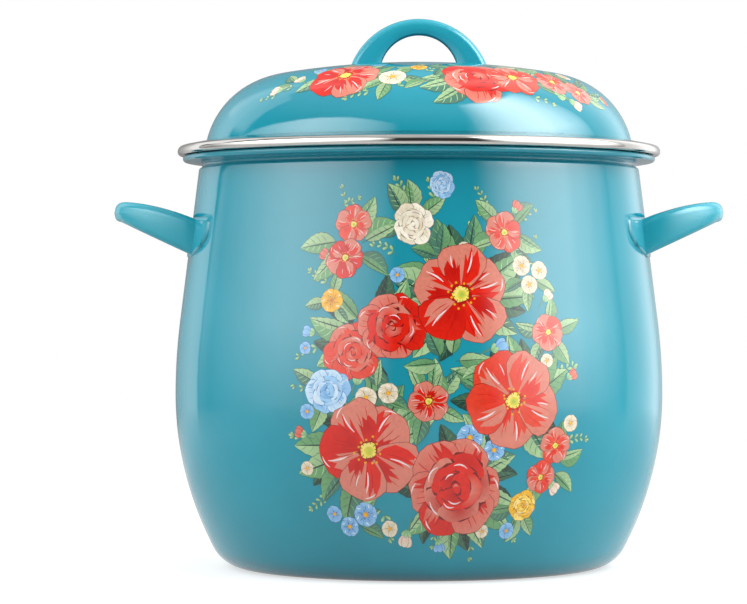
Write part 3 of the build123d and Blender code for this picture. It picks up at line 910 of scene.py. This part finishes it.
def pot_bouquet():
    """Tall bouquet for the front of the pot: across from the axis, up from the table."""
    art = Artwork(21)
    for x, y, length, turn, pairs in [
        (-8, 236, 22, 112, 5), (-58, 190, 18, 150, 4), (-62, 150, 18, 200, 4), (86, 124, 24, 36, 5),
        (98, 90, 18, 4, 4), (-62, 90, 22, 168, 5), (-60, 58, 18, 214, 4), (58, 42, 18, -52, 4),
        (34, 34, 18, -80, 3), (-26, 48, 20, -74, 4), (-14, 208, 18, 158, 4), (66, 174, 18, 56, 4),
        (10, 236, 20, 100, 4), (74, 208, 14, 60, 3), (-46, 240, 14, 120, 3), (46, 236, 16, 116, 4),
        (-54, 240, 14, 20, 3), (70, 230, 14, 30, 3), (-60, 208, 16, 160, 4), (12, 40, 16, -100, 3),
        (100, 160, 12, 40, 3), (-66, 128, 16, 186, 3), (30, 226, 14, 40, 3),
    ]:
        art.sprig(x, y, length, radians(turn), pairs)
    for x, y, size, angles in [
        (27, 184, 30, (20, 75, 105, 145, 170, 200, 232, 322, 345)),
        (-28, 157, 27, (62, 130, 165, 200, 262)), (60, 116, 27, (18, 52, 90, 128, 160, 300)),
        (-32, 85, 30, (55, 120, 168, 192, 215, 240, 12)),
        (24, 62, 28, (-4, -30, -62, -96, 34, 150, 215, 70)), (-4, 228, 14, (40, 82, 130, 200, 300)),
        (-46, 216, 17, (10, 60, 180, 215, 320)), (58, 223, 13, (40, 130, 205, 300, 340)),
        (6, 117, 13, (30, 75, 120, 200, 250, 320)), (-57, 124, 14, (150, 240)),
        (86, 160, 11, (10, 80, 170, 230, 300)), (87, 76, 14, (20, -40, 70, 230)),
        (70, 50, 11, (-60, 200, 260)), (-57, 180, 8, (80, 190, 300)), (38, 90, 10, (60, 120, 200, 330)),
        (-44, 40, 9, (20, 60, -30)), (18, 140, 12, (20, 70, 130, 180, 240, 320)),
        (-26, 121, 9, (100, 200, 330)), (74, 194, 9, (200, 260, -20)), (16, 206, 10, (30, 100, 160)),
        (46, 140, 9, (10, 200, 300)),
    ]:
        art.collar(x, y, size, angles, 1.0 if size < 20 else 0.76, size > 20)
    for x, y, size, turn, kind in [
        (50, 150, 6.0, 20, BLUE_BUD), (-9, 31, 6.0, -105, PINK_BUD), (-38, 131, 5.5, 70, PINK_BUD),
        (-71, 160, 4.5, 170, BLUE_BUD), (86, 182, 4.5, 50, PINK_BUD), (92, 62, 5.0, -40, PINK_BUD),
        (-62, 208, 4.5, 150, CORAL_BUD), (67, 238, 4.5, 52, CORAL_BUD), (14, 26, 4.5, -80, BLUE_BUD),
        (102, 132, 4.5, 30, CORAL_BUD), (-76, 96, 4.5, 160, CORAL_BUD),
    ]:
        art.bud(x, y, size, radians(turn), *kind)
    for x, y, size, kind in [
        (-57, 180, 7.5, SUNNY), (69, 202, 6.5, DAISY), (82, 199, 6.0, DAISY), (74, 190, 6.0, DAISY),
        (-33, 119, 7.0, DAISY), (-19, 122, 6.5, DAISY), (32, 94, 8.5, BLUET), (48, 86, 7.0, BLUET),
        (-36, 45, 8.0, BLUET), (-48, 37, 6.5, BLUET), (-58, 45, 5.5, BLUET), (-74, 150, 4.0, BLUET),
        (102, 102, 5.5, DAISY), (-20, 36, 5.5, DAISY), (62, 34, 5.5, BLUET), (-74, 74, 4.5, DAISY),
        (-72, 110, 5.0, BLUET), (30, 212, 5.0, DAISY), (-14, 196, 5.0, BLUET), (84, 142, 4.5, DAISY),
        (44, 34, 4.5, DAISY),
    ]:
        art.small(x, y, size, art.random.uniform(0, 1), *kind)
    art.poppy(-44, 228, 12.5, 0.4, FLAME)
    art.poppy(-49, 207, 13, 1.1, FIRE)
    art.poppy(58, 223, 13, 0.2, FLAME)
    art.rose(-4, 228, 14, 0.3, OLD, PALE_LINE)
    art.rose(16, 253, 9, 0.8, PALE_BLUE, BLUE_LINE)
    art.poppy(86, 160, 11.5, 0.8, FLAME)
    art.rose(-42, 148, 19, 0.2, FLAME)
    art.rose(-17, 164, 22, 0.9, FIRE)
    art.poppy(27, 184, 33, 0.35, FIRE)
    art.rose(-58, 123, 15, 0.2, SOFT_BLUE, BLUE_LINE)
    art.poppy(6, 117, 13, 0.6, FIRE)
    art.poppy(60, 117, 31, 0.95, FLAME)
    art.poppy(91, 88, 12, 0.3, FLAME)
    art.poppy(82, 68, 11, 1.3, FLAME)
    art.poppy(-32, 86, 33, 0.75, FIRE)
    art.rose(24, 62, 32, 0.1, FIRE)
    art.rose(71, 50, 10.5, 0.4, YELLOWS, AMBER_LINE)
    return art


def lid_garland():
    """Garland round the lid: across along its 120 mm circle, up from the dome's foot."""
    art = Artwork(34)
    for x, y, length, turn, pairs in [
        (-82, 36, 16, 178, 4), (-26, 30, 18, 200, 4), (-16, 34, 16, 30, 3), (68, 26, 16, -20, 3),
        (118, 30, 22, 8, 5), (126, 42, 18, 30, 4), (14, 66, 16, 80, 4), (90, 60, 16, 70, 4),
        (-60, 68, 16, 100, 4), (-92, 30, 14, 196, 3), (-30, 56, 16, 130, 4), (4, 50, 18, 60, 4),
    ]:
        art.sprig(x, y, length, radians(turn), pairs)
    for x, y, size, angles in [
        (-50, 48, 22, (20, 60, 110, 160, 200, 330)), (40, 46, 26, (100, 140, 172, 200, 228)),
        (70, 46, 18, (20, 60, 100, -30)), (97, 44, 12, (60, 110, -10)), (113, 34, 11, (0, 40, -40, 80)),
        (-17, 44, 9, (0, 60, 150, 200, 250)), (8, 42, 8, (10, 60, 200)), (-84, 40, 7, (140, 200)),
        (4, 62, 8, (40, 110, 180)), (-36, 74, 8, (60, 160)),
    ]:
        art.collar(x, y, size, angles, 1.1 if size < 20 else 0.68)
    for x, y, size, turn, kind in [
        (-95, 34, 5.0, 180, PINK_BUD), (-82, 44, 5.0, 150, PINK_BUD), (92, 30, 4.5, -60, GREEN_BUD),
        (101, 23, 5.5, -40, PINK_BUD), (140, 28, 5.0, 0, CORAL_BUD), (30, 80, 5.0, 85, BLUE_BUD),
    ]:
        art.bud(x, y, size, radians(turn), *kind)
    for x, y, size, kind in [
        (-17, 45, 9.0, DAISY), (-34, 74, 7.0, BLUET), (76, 70, 7.0, DAISY), (0, 62, 6.5, BUTTERCUP),
        (122, 54, 6.0, DAISY), (-76, 58, 5.0, BLUET),
    ]:
        art.small(x, y, size, art.random.uniform(0, 1), *kind)
    art.poppy(-50, 48, 23, 0.2, FIRE)
    art.rose(38, 46, 25, 0.6, FIRE)
    art.poppy(64, 46, 19, 0.3, FLAME)
    art.poppy(96, 43, 13, 0.8, FLAME)
    art.poppy(113, 33, 11, 0.1, FLAME)
    return art


def decal(name, art, place, body):
    """One mesh from overlapping flat shapes: every spot shows the last shape drawn there."""
    coords, outlines = [], []
    for points, *_ in art.shapes:
        outlines.append(list(range(len(coords), len(coords) + len(points))))
        coords += [Vector(p) for p in points]
    lows = [min(p[i] for p in coords) for i in (0, 1)]
    highs = [max(p[i] for p in coords) for i in (0, 1)]
    pitch = 4.0
    for i in range(int((highs[0] - lows[0]) / pitch)):
        for j in range(int((highs[1] - lows[1]) / pitch)):
            coords.append(Vector((lows[0] + pitch * (i + 0.5), lows[1] + pitch * (j + 0.5))))
    flat, _, faces, _, _, sources = delaunay_2d_cdt(coords, [], outlines, 1, 1e-4, True)
    verts, normals = [], []
    for p in flat:
        position, normal = place(p.x, p.y)
        verts.append(position)
        normals.append(normal)
    kept = [k for k in range(len(faces)) if sources[k]]
    piece = new_object(name, verts, [faces[k] for k in kept], [PRINT])
    mesh = piece.data
    ink = mesh.color_attributes.new(name="ink", type="BYTE_COLOR", domain="CORNER")
    chart = mesh.uv_layers.new(name="chart")
    span = max(highs[0] - lows[0], highs[1] - lows[1])
    mottle = [1 + 0.16 * noise.noise((p.x * 0.55, p.y * 0.55, 4.0)) for p in flat]
    shades, spots = [], []
    for polygon, k in zip(mesh.polygons, kept):
        _, inner, outer, centre, reach = art.shapes[max(sources[k])]
        for v in faces[k]:
            p = flat[v]
            t = min(1.0, hypot(p.x - centre[0], p.y - centre[1]) / reach)
            shades += [min(1.0, (a + (b - a) * t) * mottle[v]) for a, b in zip(inner, outer)] + [1.0]
            spots += [(p.x - lows[0]) / span, (p.y - lows[1]) / span]
    ink.data.foreach_set("color", shades)
    chart.data.foreach_set("uv", spots)
    mesh.normals_split_custom_set_from_vertices(normals)
    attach(piece, body)
    print(name, "faces", len(mesh.polygons))
    return piece


PRINT_LIFT = 0.1                 # the print stands this far off the enamel


POT_PRINT_R, LID_PRINT_R = 163.0, 120.0   # the artwork's width is laid round these radii


def lifted(radius, z, angle, tilt):
    """Point and normal just off the enamel, for a wall whose normal tilts (outwards, upwards)."""
    s, c = sin(angle), cos(angle)
    normal = (tilt[0] * s, -tilt[0] * c, tilt[1])
    spot = (radius * s + normal[0] * PRINT_LIFT, -radius * c + normal[1] * PRINT_LIFT)
    return (*spot, z + normal[2] * PRINT_LIFT), normal


def pot_place(across, up):
    """Place on the pot for a point of its artwork."""
    r0, r1 = radius_at(POT_WALL, up - 1), radius_at(POT_WALL, up + 1)
    radius = (r0 + r1) / 2
    slope = atan2(r0 - r1, 2)
    return lifted(radius, up, across / POT_PRINT_R, (cos(slope), sin(slope)))


DOME_UP = DOME[::-1]
DOME_LENGTHS = ring_steps(DOME_UP)


def lid_print_place(across, up):
    """Place on the dome for a point of its artwork; up is measured along the dome's line."""
    k = 0
    while k < len(DOME_LENGTHS) - 2 and DOME_LENGTHS[k + 1] < up:
        k += 1
    t = (up - DOME_LENGTHS[k]) / (DOME_LENGTHS[k + 1] - DOME_LENGTHS[k])
    a, b = Vector(DOME_UP[k]), Vector(DOME_UP[k + 1])
    p = a.lerp(b, t)
    before = (a - Vector(DOME_UP[k - 1])).normalized() if k else (b - a).normalized()
    after = (b - a).normalized()
    run = before.lerp(after, 0.5 + t / 2).normalized() if k else after
    return lifted(p.x, p.y, across / LID_PRINT_R, (run.y, -run.x))


decal("pot_print", pot_bouquet(), pot_place, "pot")
decal("lid_print", lid_garland(), lid_print_place, "lid")

# ---- floor, light and camera -------------------------------------------------------------
def studio_floor():
    """Pale round floor that fades into the background."""
    verts = [(0, 0, 0)]
    count, radii = 96, (200, 500, 1000, 1800, 2600)
    for radius in radii:
        verts += [(*polar(0, 0, radius, 2 * pi * k / count), 0) for k in range(count)]
    faces = [[0, 1 + k, 1 + (k + 1) % count] for k in range(count)]
    for j in range(len(radii) - 1):
        for k in range(count):
            a, b = 1 + j * count + k, 1 + j * count + (k + 1) % count
            faces.append([a, a + count, b + count, b])
    material, tree, shader = node_material("floor")
    shader.inputs["Base Color"].default_value = (0.4, 0.4, 0.4, 1)
    shader.inputs["Emission Color"].default_value = (1, 1, 1, 1)
    shader.inputs["Roughness"].default_value = 0.6
    shader.inputs["Specular IOR Level"].default_value = 0.15
    spot = tree.nodes.new("ShaderNodeTexCoord")
    length = tree.nodes.new("ShaderNodeVectorMath")
    length.operation = "LENGTH"
    tree.links.new(spot.outputs["Object"], length.inputs[0])
    far = ranged(tree, length.outputs["Value"], 1.0, 0.0, 0.6, 1.9)
    tree.links.new(far, shader.inputs["Alpha"])
    path = tree.nodes.new("ShaderNodeLightPath")
    # painted reflection: the floor glows, only as seen in the gloss, brightest close round the pot
    reflection_glow_near_pot = ranged(tree, length.outputs["Value"], 0.4, 0.05, 0.15, 0.4)
    painted_reflection_glow = computed(tree, "MULTIPLY", path.outputs["Is Glossy Ray"], reflection_glow_near_pot)
    seen = ranged(tree, path.outputs["Is Camera Ray"], 0.0, 0.62)
    tree.links.new(computed(tree, "ADD", seen, painted_reflection_glow), shader.inputs["Emission Strength"])
    floor = new_object("studio_floor", verts, faces, [material])


# brightness seen in the gloss: (degrees, value) stops, round the compass from the camera's side
# or up from the horizon; the back left one counts its degrees to the left
LEFT_ROUND = [(-126, 1.3), (-115, 0.95), (-103, 1.75), (-96, 2.4), (-88, 3.1), (-80, 4.0),
              (-67, 4.9), (-54, 4.6), (-41, 3.8), (-27, 2.5), (-17, 1.2), (-11, 0.0)]
LEFT_UP = [(-8, 0.3), (-2, 0.4), (8, 0.75), (15, 1.0), (28, 1.35)]
RIGHT_ROUND = [(27, 0.0), (31, 0.35), (39, 2.2), (48, 4.5), (59, 6.2), (70, 6.7), (80, 6.8),
               (86, 5.4), (94, 4.4), (100, 3.1), (106, 2.3), (109, 1.6), (112, 1.2), (114, 0.0)]
RIGHT_UP = [(-8, 0.3), (-2, 0.4), (8, 0.78), (15, 1.0), (27, 2.0)]
BACK_LEFT_ROUND = [(126, 0.0), (128, 1.45), (136, 1.3), (144, 0.9), (151, 0.6), (165, 0.35), (180, 0.25)]
BACK_RIGHT_ROUND = [(110, 0.0), (115, 1.1), (124, 1.25), (131, 1.5), (140, 1.8), (147, 1.8), (158, 0.8),
                    (180, 0.3)]
# the same for the light on the colour under the gloss
SIDE_UP = [(-14, 0.0), (0, 0.42), (12, 0.82), (28, 1.14), (55, 1.2), (72, 0.3)]
DIFFUSE_LEFT, DIFFUSE_RIGHT, DIFFUSE_TOP = 2.25, 3.25, 0.82


def studio_light():
    """Even soft light for the matt surfaces; two tall soft boxes and a white backdrop in the gloss."""
    world = bpy.data.worlds.new("studio")
    bpy.context.scene.world = world
    world.use_nodes = True
    tree = world.node_tree
    nodes, links = tree.nodes, tree.links
    nodes.clear()

    def times(a, b):
        return computed(tree, "MULTIPLY", a, b)

    def larger(a, b):
        return computed(tree, "MAXIMUM", a, b)

    def smooth(source, start, end, low=0.0, high=1.0):
        result = ranged(tree, source, low, high, start, end)
        result.node.interpolation_type = "SMOOTHSTEP"
        return result

    def band(source, start, end, soft_start, soft_end):
        """1 between start and end, with soft sides."""
        rise = smooth(source, start - soft_start, start + soft_start)
        fall = smooth(source, end - soft_end, end + soft_end, 1.0, 0.0)
        return times(rise, fall)

    spot = nodes.new("ShaderNodeTexCoord")
    split = nodes.new("ShaderNodeSeparateXYZ")
    links.new(spot.outputs["Generated"], split.inputs[0])
    x, y, z = split.outputs
    azimuth = times(computed(tree, "ARCTAN2", x, times(y, -1.0)), 180 / pi)
    height = times(computed(tree, "ARCSINE", z), 180 / pi)

    def ramp(source, stops):
        """Value that follows (place, value) stops in straight lines."""
        first, last = stops[0][0], stops[-1][0]
        top = max(value for _, value in stops)
        share = ranged(tree, source, 0.0, 1.0, first, last)
        node = nodes.new("ShaderNodeValToRGB")
        elements = node.color_ramp.elements
        for index, (place, value) in enumerate(stops):
            position = (place - first) / (last - first)
            if index in (0, len(stops) - 1):
                element = elements[-1 if index else 0]
            else:
                element = elements.new(position)
            element.position = position
            element.color = (value / top, value / top, value / top, 1)
        links.new(share, node.inputs["Fac"])
        return times(node.outputs["Color"], top)

    # soft boxes in the gloss; the left one has a curved top
    left = times(ramp(azimuth, LEFT_ROUND), smooth(azimuth, -127, -125))
    left_top = computed(tree, "COSINE", times(computed(tree, "ADD", azimuth, 45), pi / 180))
    left_edge = computed(tree, "SUBTRACT", height, times(left_top, 43))
    left = times(left, smooth(left_edge, -1.5, 1.5, 1.0, 0.0))
    left = times(left, ramp(height, LEFT_UP))
    right = ramp(azimuth, RIGHT_ROUND)
    right = times(right, smooth(height, 60.0, 64.0, 1.0, 0.0))
    right = times(right, ramp(height, RIGHT_UP))
    behind_left = ramp(times(azimuth, -1), BACK_LEFT_ROUND)
    behind_right = ramp(azimuth, BACK_RIGHT_ROUND)
    wing = band(azimuth, -152.0, -112.0, 8.0, 2.0)
    wing = times(wing, smooth(height, 47.0, 51.0, 1.35, 0.0))
    wing = times(wing, smooth(height, 14.0, 22.0))
    backdrop = larger(larger(behind_left, behind_right), wing)
    ceiling = smooth(height, 25.0, 60.0, 0.05, 0.75)
    gloss = larger(larger(left, right), larger(backdrop, ceiling))

    # what the soft boxes give to the colour under the gloss
    side_height = ramp(height, SIDE_UP)
    soft_left = times(band(azimuth, -132.0, -44.0, 8.0, 8.0), DIFFUSE_LEFT)
    soft_right = times(band(azimuth, 44.0, 132.0, 8.0, 8.0), DIFFUSE_RIGHT)
    soft = times(computed(tree, "ADD", soft_left, soft_right), side_height)
    soft = computed(tree, "ADD", soft, smooth(height, -10.0, 70.0, 0.3, DIFFUSE_TOP))

    path = nodes.new("ShaderNodeLightPath")
    choose_gloss = nodes.new("ShaderNodeMix")
    links.new(path.outputs["Is Glossy Ray"], choose_gloss.inputs["Factor"])
    links.new(soft, choose_gloss.inputs[2])
    links.new(gloss, choose_gloss.inputs[3])
    choose_camera = nodes.new("ShaderNodeMix")
    links.new(path.outputs["Is Camera Ray"], choose_camera.inputs["Factor"])
    links.new(choose_gloss.outputs[0], choose_camera.inputs[2])
    choose_camera.inputs[3].default_value = 1.0
    background = nodes.new("ShaderNodeBackground")
    output = nodes.new("ShaderNodeOutputWorld")
    links.new(choose_camera.outputs[0], background.inputs["Strength"])
    links.new(background.outputs[0], output.inputs[0])
    background.inputs["Color"].default_value = (1, 1, 1, 1)


CAMERA_LENS, CAMERA_SHIFT = 144.6, -0.0608
CAMERA_PLACE = (0, -2.04, 0.179)


def studio_camera():
    """Level camera in front of the printed side."""
    data = bpy.data.cameras.new("camera")
    data.sensor_width = 36
    data.lens = CAMERA_LENS
    data.shift_x = CAMERA_SHIFT
    data.clip_start, data.clip_end = 0.05, 50
    camera = bpy.data.objects.new("camera", data)
    camera.location = CAMERA_PLACE
    camera.rotation_euler = (pi / 2, 0, 0)
    bpy.context.scene.collection.objects.link(camera)
    bpy.context.scene.camera = camera


studio_floor()
studio_light()
studio_camera()
bpy.context.scene.view_settings.view_transform = "Standard"
